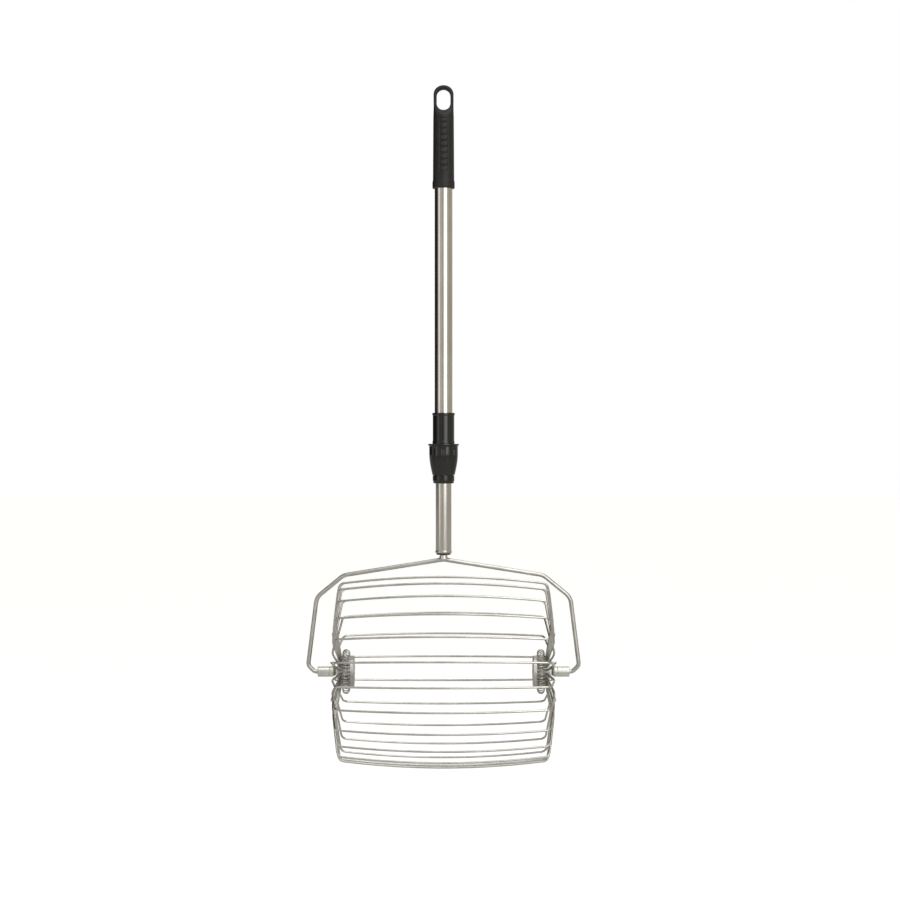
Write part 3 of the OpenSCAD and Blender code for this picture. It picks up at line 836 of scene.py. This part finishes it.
stage_floor()

# What the room sends from each direction round the pole: degrees from the camera's side, then a colour
ROOM = [
    (-180, (0.8, 0.8, 0.8)), (-168, (0.5, 0.49, 0.47)),
    (-158, (0.02, 0.017, 0.014)), (-88, (0.02, 0.017, 0.014)),
    (-74, (0.42, 0.39, 0.355)), (-40, (0.55, 0.52, 0.48)),
    (-14, (0.6, 0.57, 0.53)), (-9, (0.2, 0.18, 0.16)),
    (-4, (0.2, 0.18, 0.16)), (1, (0.9, 0.88, 0.85)),
    (7, (1.9, 1.9, 1.86)), (38, (1.9, 1.9, 1.86)),
    (50, (0.52, 0.49, 0.41)), (110, (0.42, 0.395, 0.32)),
    (150, (0.6, 0.57, 0.5)), (180, (0.8, 0.8, 0.8)),
]


def studio_world():
    """The room seen in reflections; the camera itself sees plain white."""
    world = bpy.data.worlds.new("studio")
    bpy.context.scene.world = world
    world.use_nodes = True
    tree = world.node_tree
    tree.nodes.clear()
    out = tree.nodes.new("ShaderNodeOutputWorld")
    coord = tree.nodes.new("ShaderNodeTexCoord")
    split = tree.nodes.new("ShaderNodeSeparateXYZ")
    tree.links.new(coord.outputs["Generated"], split.inputs[0])
    flip = tree.nodes.new("ShaderNodeMath")
    flip.operation = "MULTIPLY"
    flip.inputs[1].default_value = -1.0
    tree.links.new(split.outputs["Y"], flip.inputs[0])
    angle = tree.nodes.new("ShaderNodeMath")
    angle.operation = "ARCTAN2"
    tree.links.new(split.outputs["X"], angle.inputs[0])
    tree.links.new(flip.outputs[0], angle.inputs[1])
    unit = ranged(tree, angle.outputs[0], -math.pi, math.pi, 0, 1)
    ramp = tree.nodes.new("ShaderNodeValToRGB")
    ramp.color_ramp.interpolation = "LINEAR"
    stops = ramp.color_ramp.elements
    while len(stops) > 1:
        stops.remove(stops[-1])
    peak = max(max(c) for _, c in ROOM)
    for k, (degrees, colour) in enumerate(ROOM):
        position = (degrees + 180) / 360
        stop = stops[0] if k == 0 else stops.new(position)
        stop.position = position
        stop.color = (*[v / peak for v in colour], 1)
    tree.links.new(unit, ramp.inputs["Fac"])
    room = tree.nodes.new("ShaderNodeBackground")
    room.inputs["Strength"].default_value = peak
    tree.links.new(ramp.outputs["Color"], room.inputs["Color"])
    plain = tree.nodes.new("ShaderNodeBackground")
    plain.inputs["Color"].default_value = (1, 1, 1, 1)
    plain.inputs["Strength"].default_value = BACKGROUND_GLOW
    path = tree.nodes.new("ShaderNodeLightPath")
    mix = tree.nodes.new("ShaderNodeMixShader")
    tree.links.new(path.outputs["Is Camera Ray"], mix.inputs["Fac"])
    tree.links.new(room.outputs[0], mix.inputs[1])
    tree.links.new(plain.outputs[0], mix.inputs[2])
    tree.links.new(mix.outputs[0], out.inputs["Surface"])


studio_world()


LIGHT_TARGET = Vector((0, 0, -0.5))


def area_light(name, location, size, power):
    light = bpy.data.lights.new(name, "AREA")
    light.shape = "RECTANGLE"
    light.size, light.size_y = size
    light.energy = power
    obj = bpy.data.objects.new(name, light)
    obj.location = location
    obj.rotation_euler = (LIGHT_TARGET - Vector(location)).to_track_quat("-Z", "Y").to_euler()
    bpy.context.scene.collection.objects.link(obj)


area_light("top_softbox", (0.3, -0.6, 2.2), (2.6, 2.6), 22)
area_light("front_softbox", (1.6, -3.2, 0.6), (1.4, 2.4), 14)
area_light("left_softbox", (-2.6, -1.6, 0.4), (1.2, 2.4), 6)

camera_data = bpy.data.cameras.new("camera")
camera_data.lens = 85.7
camera_data.sensor_width = 36
camera_data.clip_end = 100
camera = bpy.data.objects.new("camera", camera_data)
camera.location = (0.009, -3.0, -0.49)
camera.rotation_euler = (math.radians(90), 0, 0)
bpy.context.scene.collection.objects.link(camera)
bpy.context.scene.camera = camera
bpy.context.scene.view_settings.view_transform = "Standard"
